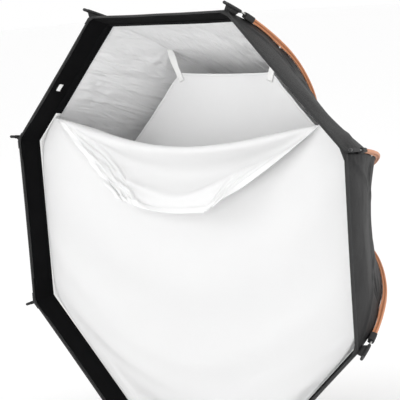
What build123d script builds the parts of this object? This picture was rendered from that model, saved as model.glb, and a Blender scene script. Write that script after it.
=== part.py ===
"""Octagonal softbox (octabox) on a rotating speed ring, for a studio flash head.

Eight curved rods spring from the speed ring to the corners of an octagonal front rim and stretch a sewn
fabric shell. A fabric baffle hangs inside on eight straps, and the front diffuser sits in a recess behind
the rim, with its top part let down.

Frame: millimetres, +Z up, +Y to the rear (towards the light), the box opens towards -Y. The origin is on
the axis, in the rear face of the bayonet insert, which is the face that seats on the light.
"""

import os
from math import atan2, cos, degrees, pi, radians, sin, tan

from build123d import *

# ---------------------------------------------------------------- driving dimensions
side_count = 8
corner_radius = 610.0  # axis to a corner of the front rim
box_depth = 560.0  # front rim to the rod sockets

rod_diameter = 5.0
rod_seat_gap = 4.0  # edge of the bayonet insert to the rod's inner end, in its socket
rod_lead = 25.0  # straight length in the socket
rod_tilt = 6.0  # the sockets lean forward
rod_bends = (38.0, 15.0, 10.0)  # how far each stretch of the rod turns, from the ring outwards
rod_easing = 2.1  # the last stretch bends this many times more gently than the one before
tip_overhang = 19.0  # the rod's tip stands outside the rim corner
tip_reach = 7.0  # and in front of it
tip_cap_diameter = 8.0
tip_cap_length = 15.0

sleeve_width = 15.0
sleeve_height = 7.6
sleeve_bore = 5.8
sleeve_front = 118.0  # depth behind the rim where the sleeve starts
sleeve_rear = 42.0  # the sleeve's rear end stands this far out from the rod's inner end
shell_relief = 20.0  # the shell starts to draw in from the rod this far behind the sleeve's front end
sleeve_cap_width = 18.0
sleeve_cap_height = 9.6
sleeve_cap_length = 40.0
corner_tab_length = 62.0
corner_tab_thickness = 3.0
corner_tab_tube = 8.4

cloth = 1.0  # shell, diffuser and baffle cloth
gore_rear = 34.0  # the panels' rear corners stand this far out from the rod's inner end
gore_sag = 28.0  # how far a stretched panel hollows between two rods
gore_sag_power = 1.4
gore_least_sag = 0.6
gore_stations = 14
seam_gap = 0.6  # half the gap between two panels, along their seam

hem_width = 6.0
hem_length = 10.0
hem_round = 1.5
lip_depth = 72.0  # rim to the diffuser's recess
lip_gap = 2.0  # between the lip and the shell panels, where they come closest
lip_wall = 1.6
loop_width = 20.0
loop_wall = 1.2
label_size = (25.0, 11.0, 0.6)
label_depth = 28.0
label_along = 0.54  # share of the upper left side, from its upper corner

diffuser_gap = 0.4
fold_share = 0.25  # the upper slanting sides hold the diffuser over this share of their length
fold_gap = 10.0
fold_round = 5.0
hook_width = 16.0
hook_wall = 1.0

baffle_depth = 248.0
strap_length = 78.0
strap_width = 18.0
strap_wall = 1.2
strap_overlap = 22.0

ring_hold = 14.0  # length of each socket inside the ring
flange_lap = 6.0  # the ring's front flange reaches this far in front of the insert
ring_front_y = -27.0
ring_rear_y = -1.0
socket_y = -16.0
socket_outer = 9.0
socket_bore = 5.6
socket_length = 28.0
cuff_lap = 2.0  # the cloth cuff reaches this far in front of the insert

insert_radius = 76.0
insert_thickness = 10.0
bayonet_bore_radius = 49.0
collar_radius = 56.0
collar_length = 8.0
lug_count = 3
lug_radius = 61.0
lug_span = 28.0
lug_thickness = 4.0
groove_depth = 2.5

lock_count = 4
stud_diameter = 6.0
stud_clearance = 0.1
knob_diameter = 18.0
knob_length = 14.0
knob_gap = 2.0
knob_scallops = 12
knob_scallop_diameter = 3.0

running_gap = 0.3  # between pieces that stay apart
seat_gap = 0.05  # between sewn or pressed pieces

# ---------------------------------------------------------------- what follows from them
half_side = pi / side_count
rod_seat_radius = insert_radius + rod_seat_gap
sleeve_rear_radius = rod_seat_radius + sleeve_rear
gore_rear_radius = rod_seat_radius + gore_rear
ring_outer_radius = rod_seat_radius + ring_hold
ring_flange_radius = insert_radius - flange_lap
rim_y = socket_y - box_depth
tip_radius = corner_radius + tip_overhang
tip_y = rim_y - tip_reach
rod_angles = [90.0 + (k + 0.5) * 360.0 / side_count for k in range(side_count)]


def bend_radii():
    """Radii of the rod's three arcs, so that it ends at the tip whatever the box measures."""
    headings = [radians(rod_tilt + sum(rod_bends[:k])) for k in range(len(rod_bends) + 1)]
    out = [sin(b) - sin(a) for a, b in zip(headings, headings[1:])]
    forward = [cos(a) - cos(b) for a, b in zip(headings, headings[1:])]
    reach = tip_radius - rod_seat_radius - rod_lead * cos(headings[0])
    drop = socket_y - rod_lead * sin(headings[0]) - tip_y
    out_rest = out[1] + rod_easing * out[2]
    forward_rest = forward[1] + rod_easing * forward[2]
    scale = out[0] * forward_rest - out_rest * forward[0]
    first = (reach * forward_rest - drop * out_rest) / scale
    second = (out[0] * drop - forward[0] * reach) / scale
    return first, second, rod_easing * second


rod_radii = bend_radii()
rod_length = rod_lead + sum(r * radians(a) for r, a in zip(rod_radii, rod_bends))


def rod_point(along, inward=0.0):
    """(radius, y, heading) on the rod at a length from its inner end, moved inward by an offset."""
    heading = radians(rod_tilt)
    straight = min(along, rod_lead)
    r = rod_seat_radius + straight * cos(heading)
    y = socket_y - straight * sin(heading)
    left = along - straight
    for radius, bend in zip(rod_radii, rod_bends):
        step = min(left, radius * radians(bend))
        after = heading + step / radius
        r += radius * (sin(after) - sin(heading))
        y -= radius * (cos(heading) - cos(after))
        heading = after
        left -= step
    r += left * cos(heading)
    y -= left * sin(heading)
    return r - inward * sin(heading), y - inward * cos(heading), heading


def rod_along(reached):
    """Length along the rod at which a test on its point first holds."""
    low, high = 0.0, rod_length
    for _ in range(50):
        middle = (low + high) / 2
        low, high = (low, middle) if reached(rod_point(middle)) else (middle, high)
    return high


def along_at_depth(depth):
    """Length along the rod at a depth behind the rim."""
    return rod_along(lambda p: p[1] <= rim_y + depth)


def along_at_radius(radius):
    """Length along the rod at a distance from the axis."""
    return rod_along(lambda p: p[0] >= radius)


seat_offset = sleeve_height / 2 + running_gap
rim_along = along_at_depth(0.0)
rim_rod_radius, _, rim_heading = rod_point(rim_along)
rim_offset = (rim_rod_radius - corner_radius + cloth) * sin(rim_heading)


def seam_offset(along):
    """How far the shell's seam lies inside the rod: on the sleeve, then drawn in towards the rim."""
    depth = rod_point(along)[1] - rim_y
    drawn = max(0.0, 1.0 - depth / (sleeve_front + shell_relief))
    return seat_offset + (rim_offset - seat_offset) * drawn


def meridian(angle):
    """Plane through the axis at an angle round it: local x is outwards, local y is +Y."""
    c, s = cos(radians(angle)), sin(radians(angle))
    return Plane(origin=(0, 0, 0), x_dir=(c, 0, s), z_dir=(-s, 0, c))


def facing_front(y):
    """Plane square to the axis, whose local x is -X, local y is +Z and normal is +Y."""
    return Plane(origin=(0, y, 0), x_dir=(-1, 0, 0), z_dir=(0, 1, 0))


def save(name, shape):
    shape.label = name
    export_step(shape, f"parts/{name}.step")


os.makedirs("parts", exist_ok=True)


def group(name, shapes):
    """Writes identical pieces as one node of separate solids."""
    save(name, Compound(children=list(shapes)))


def rod_path(angle, start, end):
    """The rod's own curve between two lengths along it, in its meridian plane."""
    marks = [0.0, rod_lead]
    for radius, bend in zip(rod_radii, rod_bends):
        marks.append(marks[-1] + radius * radians(bend))
    radii = [None, *rod_radii]
    with BuildLine(meridian(angle)) as line:
        for radius, a, b in zip(radii, marks, marks[1:]):
            a, b = max(a, start), min(b, end)
            if b - a < 0.01:
                continue
            r, y, heading = rod_point(a)
            if radius is None:
                Line((r, y), rod_point(b)[:2])
            else:
                tangent = (cos(heading), -sin(heading))
                JernArc(start=(r, y), tangent=tangent, radius=radius, arc_size=-degrees((b - a) / radius))
    return line


def path_start(angle, along):
    """Plane square to the rod at a length along it: local x runs round the axis, local y is outwards."""
    r, y, heading = rod_point(along)
    spot = meridian(angle)
    forward = spot.x_dir * cos(heading) - spot.y_dir * sin(heading)
    return Plane(origin=spot.from_local_coords(Vector(r, y, 0)), x_dir=-spot.z_dir, z_dir=forward)


# ---------------------------------------------------------------- rods and what is on them
def make_rod(angle):
    end = rod_length
    with BuildPart() as rod:
        path = rod_path(angle, 0.0, end)
        with BuildSketch(path_start(angle, 0.0)):
            Circle(rod_diameter / 2)
        sweep(path=path.wires()[0])
    return rod.part


def make_tip_cap(angle):
    """Moulded cap pushed over the rod's end, with a ball nose."""
    end = rod_length
    plane = path_start(angle, end)
    with BuildPart() as cap:
        with BuildSketch(plane.offset(-tip_cap_length + tip_cap_diameter / 2)):
            Circle(tip_cap_diameter / 2)
            Circle(rod_diameter / 2 + stud_clearance, mode=Mode.SUBTRACT)
        extrude(amount=tip_cap_length - tip_cap_diameter / 2 + stud_clearance)
        with BuildSketch(plane.offset(stud_clearance)):
            Circle(tip_cap_diameter / 2)
        extrude(amount=tip_cap_diameter / 2)
        fillet(cap.edges().filter_by(GeomType.CIRCLE).sort_by(Axis(plane.origin, plane.z_dir))[-1],
               tip_cap_diameter / 2 - stud_clearance)
    return cap.part


def swept_sleeve(angle, start, end, width, height):
    """Flat sleeve with a round channel, along the rod between two lengths."""
    with BuildPart() as sleeve:
        path = rod_path(angle, start, end)
        with BuildSketch(path_start(angle, start)):
            RectangleRounded(width, height, height * 0.3)
            Circle(sleeve_bore / 2, mode=Mode.SUBTRACT)
        sweep(path=path.wires()[0])
    return sleeve.part


def make_corner_tab(angle):
    """Webbing gusset from the rim corner out to the rod, folded round the rod as a tube."""
    front = rod_length - tip_cap_length + tip_cap_diameter / 2 - running_gap
    rear = front - corner_tab_length
    with BuildPart() as tab:
        path = rod_path(angle, rear, front)
        with BuildSketch(path_start(angle, rear)):
            Circle(corner_tab_tube / 2)
        sweep(path=path.wires()[0])
        with BuildSketch(meridian(angle)):
            with BuildLine():
                Polyline(
                    rod_point(front)[:2],
                    rod_point(rear)[:2],
                    rod_point(rear + corner_tab_length * 0.25, seam_offset(rear) - 1)[:2],
                    (corner_radius + running_gap, rim_y + hem_length),
                    (corner_radius + running_gap, rim_y + hem_round),
                    close=True,
                )
            make_face()
        extrude(amount=corner_tab_thickness / 2, both=True)
        path = rod_path(angle, rear - 2, front + 2)
        with BuildSketch(path_start(angle, rear - 2)):
            Circle(sleeve_bore / 2)
        sweep(path=path.wires()[0], mode=Mode.SUBTRACT)
    return tab.part


sleeve_start = along_at_radius(sleeve_rear_radius)
sleeve_end = along_at_depth(sleeve_front)
for number, angle in enumerate(rod_angles, start=1):
    save(f"rod_{number}", make_rod(angle))
    save(f"rod_sleeve_{number}", swept_sleeve(angle, sleeve_start, sleeve_end, sleeve_width, sleeve_height))
    save(f"corner_tab_{number}", make_corner_tab(angle))
group("rod_tip_caps", [make_tip_cap(a) for a in rod_angles])
cap_start = sleeve_end + running_gap
group("sleeve_caps", [
    swept_sleeve(a, cap_start, cap_start + sleeve_cap_length, sleeve_cap_width, sleeve_cap_height)
    for a in rod_angles
])


# ---------------------------------------------------------------- shell
gore_start = along_at_radius(gore_rear_radius)
gore_end = rod_length


def gore_section(along):
    """Corner radius, y, heading and sag of the shell's outer face at a length along the rod."""
    r, y, heading = rod_point(along, seam_offset(along))
    share = (along - gore_start) / (rim_along - gore_start)
    sag = gore_sag * max(0.0, sin(pi * min(max(share, 0.0), 1.0))) ** gore_sag_power
    return r, y, heading, max(sag, gore_least_sag)


def along_shell(y):
    """Length along the rod whose shell section lies at a y."""
    low, high = gore_start, gore_end
    for _ in range(50):
        middle = (low + high) / 2
        low, high = (low, middle) if gore_section(middle)[1] <= y else (middle, high)
    return high


def shell_inside(y):
    """Corner radius of the largest octagon that the shell holds at a y."""
    r, _, heading, sag = gore_section(along_shell(y))
    return r - (sag * sin(heading) + cloth) / cos(half_side)


def make_gore(angle):
    """One panel between two rods, hollowed between them like any stretched cloth."""
    with BuildPart() as gore:
        for k in range(gore_stations):
            along = gore_start + (gore_end - gore_start) * k / (gore_stations - 1)
            r, y, heading, sag = gore_section(along)
            spot = meridian(angle)
            tilt = atan2(sin(heading), cos(heading) * cos(half_side))
            forward = spot.x_dir * cos(tilt) - spot.y_dir * sin(tilt)
            half = r * sin(half_side) - seam_gap
            centre = spot.from_local_coords(Vector(r * cos(half_side), y, 0))
            outer = [(half * t, -sag * (1 - t * t)) for t in (-1, -0.5, 0, 0.5, 1)]
            inner = [(x, z - cloth) for x, z in reversed(outer)]
            with BuildSketch(Plane(origin=centre, x_dir=-spot.z_dir, z_dir=forward)):
                with BuildLine():
                    Polyline(*outer, *inner, close=True)
                make_face()
        loft(ruled=True)
        split(bisect_by=facing_front(rim_y + hem_length + running_gap), keep=Keep.TOP)
    return gore.part


for number, angle in enumerate(rod_angles, start=1):
    save(f"shell_panel_{number}", make_gore(angle + degrees(half_side)))


def octagon(radius):
    """Regular octagon with flats up, down, left and right, by its corner radius."""
    return RegularPolygon(radius, side_count, rotation=degrees(half_side))


with BuildPart() as front_hem:
    with BuildSketch(facing_front(rim_y)):
        octagon(corner_radius)
    extrude(amount=hem_length)
    with BuildSketch(facing_front(rim_y)):
        octagon(corner_radius - hem_width / cos(half_side))
    extrude(amount=hem_length, mode=Mode.SUBTRACT)
    fillet(front_hem.faces().sort_by(Axis.Y)[0].edges(), hem_round)
save("front_hem", front_hem.part)

lip_front_y = rim_y + hem_length + running_gap
lip_rear_y = rim_y + lip_depth
lip_front_radius = shell_inside(lip_front_y) - lip_gap
lip_rear_radius = shell_inside(lip_rear_y) - lip_gap


def lip_radius(y, inward=0.0):
    """Corner radius of the lip's outer face at a y, moved inward by a wall measured on the flats."""
    share = (y - lip_front_y) / (lip_rear_y - lip_front_y)
    return lip_front_radius + (lip_rear_radius - lip_front_radius) * share - inward / cos(half_side)


def octagon_band(front_y, rear_y, outer, inner):
    """Thin octagonal band that follows the lip's slope, between two depths inside its outer face."""
    with BuildPart() as band:
        for y in (front_y, rear_y):
            with BuildSketch(facing_front(y)):
                octagon(lip_radius(y, outer))
        loft(ruled=True)
        for y in (front_y, rear_y):
            with BuildSketch(facing_front(y)):
                octagon(lip_radius(y, inner))
        loft(ruled=True, mode=Mode.SUBTRACT)
    return band.part


save("front_lip", octagon_band(lip_front_y, lip_rear_y, 0.0, lip_wall))
loop_front_y = lip_rear_y - loop_width
loop_back = lip_wall + seat_gap
save("loop_strip", octagon_band(loop_front_y, lip_rear_y, loop_back, loop_back + loop_wall))

with BuildPart() as size_label:
    label_y = rim_y + label_depth
    flat = lip_radius(label_y, lip_wall) * cos(half_side) - seat_gap
    slope = atan2(
        (lip_front_radius - lip_rear_radius) * cos(half_side), lip_rear_y - lip_front_y
    )
    side = meridian(135.0)
    run = side.y_dir * cos(slope) - side.x_dir * sin(slope)
    centre = side.from_local_coords(Vector(flat, label_y, 0))
    along_side = (0.5 - label_along) * 2 * lip_radius(label_y) * sin(half_side)
    centre = centre - side.z_dir * along_side
    inward = side.z_dir.cross(run)
    with BuildSketch(Plane(origin=centre, x_dir=run, z_dir=inward)):
        Rectangle(label_size[0], label_size[1])
    extrude(amount=label_size[2])
save("size_label", size_label.part)

with BuildPart() as rear_cuff:
    with BuildSketch(facing_front(ring_front_y - running_gap)):
        Circle(gore_rear_radius * cos(half_side) - cloth)
        Circle(insert_radius - cuff_lap, mode=Mode.SUBTRACT)
    extrude(amount=-cloth)
save("rear_cuff", rear_cuff.part)

# ---------------------------------------------------------------- front diffuser
recess_wall = loop_back + loop_wall + diffuser_gap
hook_front_y = lip_rear_y - hook_width
diffuser_y = lip_rear_y - cloth
diffuser_radius = lip_radius(lip_rear_y, recess_wall + hook_wall)
hold_radius = lip_radius(lip_rear_y)
slant_low = hold_radius * sin(half_side)
slant_high = hold_radius * cos(half_side)
fold_z = slant_low + (slant_high - slant_low) * fold_share
fold_half = hold_radius * cos(half_side) - (fold_z - slant_low) - recess_wall - hook_wall - fold_round
flap_top_half = hold_radius * sin(half_side)
flap_drop = slant_high - fold_z

with BuildPart() as front_diffuser:
    with BuildSketch(facing_front(diffuser_y)):
        octagon(diffuser_radius)
        with Locations((0, fold_z + corner_radius)):
            Rectangle(4 * corner_radius, 2 * corner_radius, mode=Mode.SUBTRACT)
    extrude(amount=cloth)
    with BuildSketch(facing_front(diffuser_y - fold_gap)):
        with BuildLine():
            Polyline(
                (-fold_half, fold_z),
                (fold_half, fold_z),
                (flap_top_half, fold_z - flap_drop),
                (-flap_top_half, fold_z - flap_drop),
                close=True,
            )
        make_face()
    extrude(amount=cloth)
    with BuildSketch(facing_front(diffuser_y - fold_gap)):
        with Locations((0, fold_z)):
            Rectangle(2 * fold_half, cloth)
    extrude(amount=fold_gap + cloth)
save("front_diffuser", front_diffuser.part)

with BuildPart() as hook_strip:
    for y in (hook_front_y, diffuser_y):
        with BuildSketch(facing_front(y)):
            octagon(lip_radius(y, recess_wall))
    loft(ruled=True)
    for y in (hook_front_y, diffuser_y):
        with BuildSketch(facing_front(y)):
            octagon(lip_radius(y, recess_wall + hook_wall))
    loft(ruled=True, mode=Mode.SUBTRACT)
    split(bisect_by=Plane(origin=(0, 0, fold_z), z_dir=(0, 0, -1)), keep=Keep.TOP)
save("diffuser_hook_strip", hook_strip.part)

# ---------------------------------------------------------------- inner baffle
baffle_y = rim_y + baffle_depth
outer_radius, _, baffle_heading, baffle_sag = gore_section(along_shell(baffle_y))
seam_radius = outer_radius - (cloth + seam_gap) / sin(baffle_heading)
baffle_radius = seam_radius - strap_length
panel_fall = 1.5 * baffle_sag / (outer_radius * sin(half_side)) / sin(baffle_heading)
seam_slope = tan(half_side) + panel_fall

with BuildPart() as inner_baffle:
    with BuildSketch(facing_front(baffle_y)):
        octagon(baffle_radius)
    extrude(amount=cloth)
save("inner_baffle", inner_baffle.part)


def make_strap(angle):
    """Strap sewn on a corner of the baffle, its outer end cut to fit into the seam between two panels."""
    spot = meridian(angle)
    end = seam_radius - 2 * running_gap
    shoulder = end - seam_slope * strap_width / 2
    plane = Plane(origin=(0, baffle_y, 0), x_dir=spot.x_dir, z_dir=(0, -1, 0))
    with BuildPart() as strap:
        with BuildSketch(plane):
            with BuildLine():
                Polyline(
                    (baffle_radius - strap_overlap, -strap_width / 2),
                    (shoulder, -strap_width / 2),
                    (end, 0),
                    (shoulder, strap_width / 2),
                    (baffle_radius - strap_overlap, strap_width / 2),
                    close=True,
                )
            make_face()
        extrude(amount=strap_wall)
    return strap.part


group("baffle_straps", [make_strap(a) for a in rod_angles])

# ---------------------------------------------------------------- speed ring
insert_front_y = -insert_thickness
socket_hole = socket_outer / 2 + 0.05
lock_y = insert_front_y / 2
lock_angles = [k * 360.0 / lock_count for k in range(lock_count)]


def square_to(angle, radius, y):
    """Plane facing outwards at a distance from the axis."""
    spot = meridian(angle)
    return Plane(origin=spot.from_local_coords(Vector(radius, y, 0)), x_dir=spot.z_dir, z_dir=spot.x_dir)


with BuildPart() as speed_ring:
    with BuildSketch(facing_front(ring_front_y)):
        Circle(ring_outer_radius)
        Circle(ring_flange_radius, mode=Mode.SUBTRACT)
    extrude(amount=ring_rear_y - ring_front_y)
    with BuildSketch(facing_front(insert_front_y - running_gap)):
        Circle(insert_radius + running_gap)
    extrude(amount=insert_thickness, mode=Mode.SUBTRACT)
    rims = speed_ring.edges().filter_by(GeomType.CIRCLE)
    chamfer(rims.filter_by(lambda e: abs(e.radius - ring_outer_radius) < 0.01), 1.5)
    for angle in rod_angles:
        with BuildSketch(path_start(angle, 0.0)):
            Circle(socket_hole)
        extrude(amount=socket_length * 2, mode=Mode.SUBTRACT)
    for angle in lock_angles:
        with BuildSketch(square_to(angle, ring_flange_radius - stud_diameter, lock_y)):
            Circle(stud_diameter / 2 + stud_clearance)
        extrude(amount=ring_outer_radius, mode=Mode.SUBTRACT)
save("speed_ring", speed_ring.part)


def make_socket(angle):
    """Steel tube pressed into the ring, open outwards."""
    with BuildPart() as socket:
        with BuildSketch(path_start(angle, 0.2)):
            Circle(socket_outer / 2)
            Circle(socket_bore / 2, mode=Mode.SUBTRACT)
        extrude(amount=socket_length)
    return socket.part


group("rod_sockets", [make_socket(a) for a in rod_angles])

with BuildPart() as ring_insert:
    with BuildSketch(meridian(0.0)):
        with BuildLine():
            Polyline(
                (bayonet_bore_radius, insert_front_y),
                (insert_radius, insert_front_y),
                (insert_radius, lock_y - groove_depth),
                (insert_radius - groove_depth, lock_y),
                (insert_radius, lock_y + groove_depth),
                (insert_radius, 0),
                (collar_radius, 0),
                (collar_radius, collar_length),
                (bayonet_bore_radius, collar_length),
                close=True,
            )
        make_face()
    revolve(axis=Axis.Y)
    for k in range(lug_count):
        with BuildSketch(facing_front(collar_length - lug_thickness)):
            middle = 90.0 + k * 360.0 / lug_count
            with BuildLine():
                inner = CenterArc((0, 0), collar_radius - 1, middle - lug_span / 2, lug_span)
                outer = CenterArc((0, 0), lug_radius, middle - lug_span / 2, lug_span)
                Line(inner @ 0, outer @ 0)
                Line(inner @ 1, outer @ 1)
            make_face()
        extrude(amount=lug_thickness)
save("ring_insert", ring_insert.part)

stud_tip_radius = insert_radius - groove_depth + 0.4
knob_inner_radius = ring_outer_radius + knob_gap
for number, angle in enumerate(lock_angles, start=1):
    with BuildPart() as stud:
        cone = stud_diameter / 2
        with BuildSketch(meridian(angle)):
            with BuildLine():
                Polyline(
                    (stud_tip_radius, lock_y),
                    (stud_tip_radius + cone, lock_y + cone),
                    (knob_inner_radius - running_gap, lock_y + cone),
                    (knob_inner_radius - running_gap, lock_y),
                    close=True,
                )
            make_face()
        revolve(axis=Axis((0, lock_y, 0), meridian(angle).x_dir))
    save(f"lock_stud_{number}", stud.part)
    with BuildPart() as knob:
        with BuildSketch(square_to(angle, knob_inner_radius, lock_y)):
            Circle(knob_diameter / 2)
            with PolarLocations(knob_diameter / 2 + knob_scallop_diameter * 0.2, knob_scallops):
                Circle(knob_scallop_diameter / 2, mode=Mode.SUBTRACT)
        extrude(amount=knob_length)
        chamfer(knob.faces().sort_by(Axis((0, 0, 0), meridian(angle).x_dir))[-1].edges(), 0.6)
    save(f"lock_knob_{number}", knob.part)

print("bend radii", [round(r, 1) for r in rod_radii], "rod length", round(rod_length, 1))
print("rim y", rim_y, "baffle corner", round(baffle_radius, 1), "seam", round(seam_radius, 1))
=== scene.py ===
"""Looks of an eight-sided octabox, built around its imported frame.

Metres, +Z up, +Y to the rear; the box opens towards -Y. A place on the box is given by an angle round the
axis, from +X towards +Z, and a distance from the axis. Rods 1 to 8 and panels 1 to 8 go round from the top.
"""

from math import atan2, cos, exp, hypot, pi, radians, sin, tau

import bmesh
import bpy
import numpy as np
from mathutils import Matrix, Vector, noise


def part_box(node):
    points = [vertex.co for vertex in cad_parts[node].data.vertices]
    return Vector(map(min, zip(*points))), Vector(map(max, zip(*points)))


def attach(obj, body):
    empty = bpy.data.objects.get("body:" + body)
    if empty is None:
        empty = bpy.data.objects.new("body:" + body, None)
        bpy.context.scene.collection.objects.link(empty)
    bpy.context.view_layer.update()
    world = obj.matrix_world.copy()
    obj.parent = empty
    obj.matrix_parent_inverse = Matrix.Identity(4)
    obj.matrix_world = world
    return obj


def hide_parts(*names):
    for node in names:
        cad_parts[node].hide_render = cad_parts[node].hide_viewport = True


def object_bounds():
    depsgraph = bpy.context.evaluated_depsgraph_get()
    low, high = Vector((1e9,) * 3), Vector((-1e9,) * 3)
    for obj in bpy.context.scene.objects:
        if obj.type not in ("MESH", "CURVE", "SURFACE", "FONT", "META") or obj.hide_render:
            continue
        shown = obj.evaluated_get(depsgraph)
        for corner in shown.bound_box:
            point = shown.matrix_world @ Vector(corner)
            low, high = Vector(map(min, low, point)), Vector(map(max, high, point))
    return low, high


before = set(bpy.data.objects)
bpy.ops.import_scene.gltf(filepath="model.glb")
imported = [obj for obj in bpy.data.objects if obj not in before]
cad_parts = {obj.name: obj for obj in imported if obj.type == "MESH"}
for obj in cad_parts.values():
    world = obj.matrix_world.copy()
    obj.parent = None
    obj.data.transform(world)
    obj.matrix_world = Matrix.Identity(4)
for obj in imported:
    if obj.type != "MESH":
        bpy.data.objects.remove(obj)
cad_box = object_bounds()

MM = 0.001
SIDES = 8
HALF = pi / SIDES

# -------------------------------- sizes, in metres
RIM_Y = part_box("front_hem")[0].y
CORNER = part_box("front_hem")[1].x / cos(HALF)  # axis to a corner of the rim
SOCKET_Y = -16 * MM
ROD_ANGLES = [pi / 2 + (k + 0.5) * tau / SIDES for k in range(SIDES)]
ROD_SEAT = 80 * MM
ROD_LEAD = 25 * MM
ROD_TILT = radians(6)
ROD_ARCS = ((430.6 * MM, radians(38)), (836.1 * MM, radians(15)), (1755.8 * MM, radians(10)))
ROD_LENGTH = ROD_LEAD + sum(radius * turn for radius, turn in ROD_ARCS)

SLEEVE_FRONT = 118 * MM  # behind the rim
SLEEVE_REAR_RADIUS = 122 * MM
SLEEVE_END_LENGTH = 40 * MM
SHELL_RELIEF = 20 * MM
SEAM_OFFSET = 7.5 * MM  # shell seam inside the rod

CUFF_INNER_RADIUS = 75 * MM
CUFF_INNER_Y = SOCKET_Y - 11.8 * MM
PANEL_REAR_RADIUS = 114 * MM
PANEL_SAG = 20 * MM
PANEL_SAG_POWER = 1.4
CLOTH = 1 * MM
SHELL_THICKNESS = 0.7 * MM

HEM_WIDTH = 6 * MM
HEM_DEPTH = 10 * MM
LIP_FRONT_Y, LIP_REAR_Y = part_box("front_lip")[0].y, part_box("front_lip")[1].y
LIP_ROUND = 6 * MM
LIP_SWAY = 1.5 * MM
LIP_THICKNESS = 1.4 * MM
LOOP_WIDTH = 20 * MM
LOOP_INSET = 1.7 * MM
LOOP_THICKNESS = 1.0 * MM


# -------------------------------- places
def outward(angle):
    """Direction away from the axis."""
    return np.array((cos(angle), 0.0, sin(angle)))


def around(angle):
    """Direction round the axis."""
    return np.array((-sin(angle), 0.0, cos(angle)))


REARWARD = np.array((0.0, 1.0, 0.0))


def rod_point(along, inward=0.0):
    """(distance from the axis, y, heading) on a rod at a length from its inner end, moved inward."""
    heading = ROD_TILT
    straight = min(along, ROD_LEAD)
    r = ROD_SEAT + straight * cos(heading)
    y = SOCKET_Y - straight * sin(heading)
    left = along - straight
    for radius, turn in ROD_ARCS:
        step = min(left, radius * turn)
        after = heading + step / radius
        r += radius * (sin(after) - sin(heading))
        y -= radius * (cos(heading) - cos(after))
        heading = after
        left -= step
    r += left * cos(heading)
    y -= left * sin(heading)
    return r - inward * sin(heading), y - inward * cos(heading), heading


def rod_along(reached):
    """Length along a rod at which a test on its point first holds."""
    low, high = 0.0, ROD_LENGTH
    for _ in range(40):
        middle = (low + high) / 2
        low, high = (low, middle) if reached(rod_point(middle)) else (middle, high)
    return high


def rod_place(angle, along, side=0.0, lift=0.0):
    """Point beside a rod: side runs round the axis, lift away from the shell."""
    r, y, heading = rod_point(along)
    up = outward(angle) * sin(heading) + REARWARD * cos(heading)
    return outward(angle) * r + REARWARD * y + around(angle) * side + up * lift


BAFFLE_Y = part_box("inner_baffle")[0].y
STRAP_ALONG = rod_along(lambda p: p[1] <= BAFFLE_Y)
STRAP_PULL = 3 * MM
STRAP_REACH = 50 * MM
RIM_ALONG = rod_along(lambda p: p[1] <= RIM_Y)
RIM_OFFSET = (rod_point(RIM_ALONG)[0] - CORNER + CLOTH) * sin(rod_point(RIM_ALONG)[2])
PANEL_START = rod_along(lambda p: p[0] >= PANEL_REAR_RADIUS)


def seam_depth(along):
    """How far the shell's seam lies inside the rod: more at the rim and where a strap pulls it in."""
    depth = rod_point(along)[1] - RIM_Y
    drawn = max(0.0, 1.0 - depth / (SLEEVE_FRONT + SHELL_RELIEF))
    pulled = STRAP_PULL * exp(-(((along - STRAP_ALONG) / STRAP_REACH) ** 2))
    return SEAM_OFFSET + (RIM_OFFSET - SEAM_OFFSET) * drawn + pulled


def shell_point(along):
    """(distance from the axis, y, heading, sag) of the shell's seam at a length along the rod."""
    r, y, heading = rod_point(along, seam_depth(along))
    share = min(max((along - PANEL_START) / (RIM_ALONG - PANEL_START), 0.0), 1.0)
    return r, y, heading, PANEL_SAG * max(0.0, sin(pi * share)) ** PANEL_SAG_POWER


def shell_along(y):
    """Length along a rod at which the shell's seam reaches a y."""
    low, high = PANEL_START, ROD_LENGTH
    for _ in range(40):
        middle = (low + high) / 2
        low, high = (low, middle) if shell_point(middle)[1] <= y else (middle, high)
    return high


def smooth(x):
    """Eases from 0 to 1 as x does."""
    x = min(max(x, 0.0), 1.0)
    return x * x * (3 - 2 * x)


def ripple(x, y, z=0.0):
    """Smooth noise from -1 to 1, the same on every run."""
    return noise.noise(Vector((x, y, z)))


# -------------------------------- meshes
def placed(name, data):
    """An object of this data, in the scene."""
    thing = bpy.data.objects.new(name, data)
    bpy.context.scene.collection.objects.link(thing)
    return thing


def new_object(name, points, faces, uv=None, materials=()):
    """Smooth mesh object; uv, one pair to a point, is the cloth's own coordinates in metres."""
    mesh = bpy.data.meshes.new(name)
    mesh.from_pydata([tuple(p) for p in points], [], faces)
    for material in materials:
        mesh.materials.append(material)
    mesh.polygons.foreach_set("use_smooth", [True] * len(mesh.polygons))
    if uv is not None:
        layer = mesh.uv_layers.new(name="cloth")
        index = np.empty(len(mesh.loops), int)
        mesh.loops.foreach_get("vertex_index", index)
        layer.data.foreach_set("uv", np.asarray(uv, float)[index].ravel())
    return placed(name, mesh)


def grid_faces(rows, columns, wrap=False, first=0):
    """Quads of a grid of points held row by row; with wrap the last column joins the first."""
    faces = []
    for i in range(rows - 1):
        for j in range(columns if wrap else columns - 1):
            k = (j + 1) % columns
            a, b = first + i * columns, first + (i + 1) * columns
            faces.append((a + j, a + k, b + k, b + j))
    return faces


def tube(name, loops, materials, uv_step=0.01):
    """Skin over closed loops of points, with capped ends."""
    rows, columns = len(loops), len(loops[0])
    points = [p for loop in loops for p in loop]
    faces = grid_faces(rows, columns, wrap=True)
    faces.append(tuple(range(columns))[::-1])
    faces.append(tuple((rows - 1) * columns + j for j in range(columns)))
    uv = [(j * uv_step, i * uv_step) for i in range(rows) for j in range(columns)]
    return outside_out(new_object(name, points, faces, uv, materials))


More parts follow.
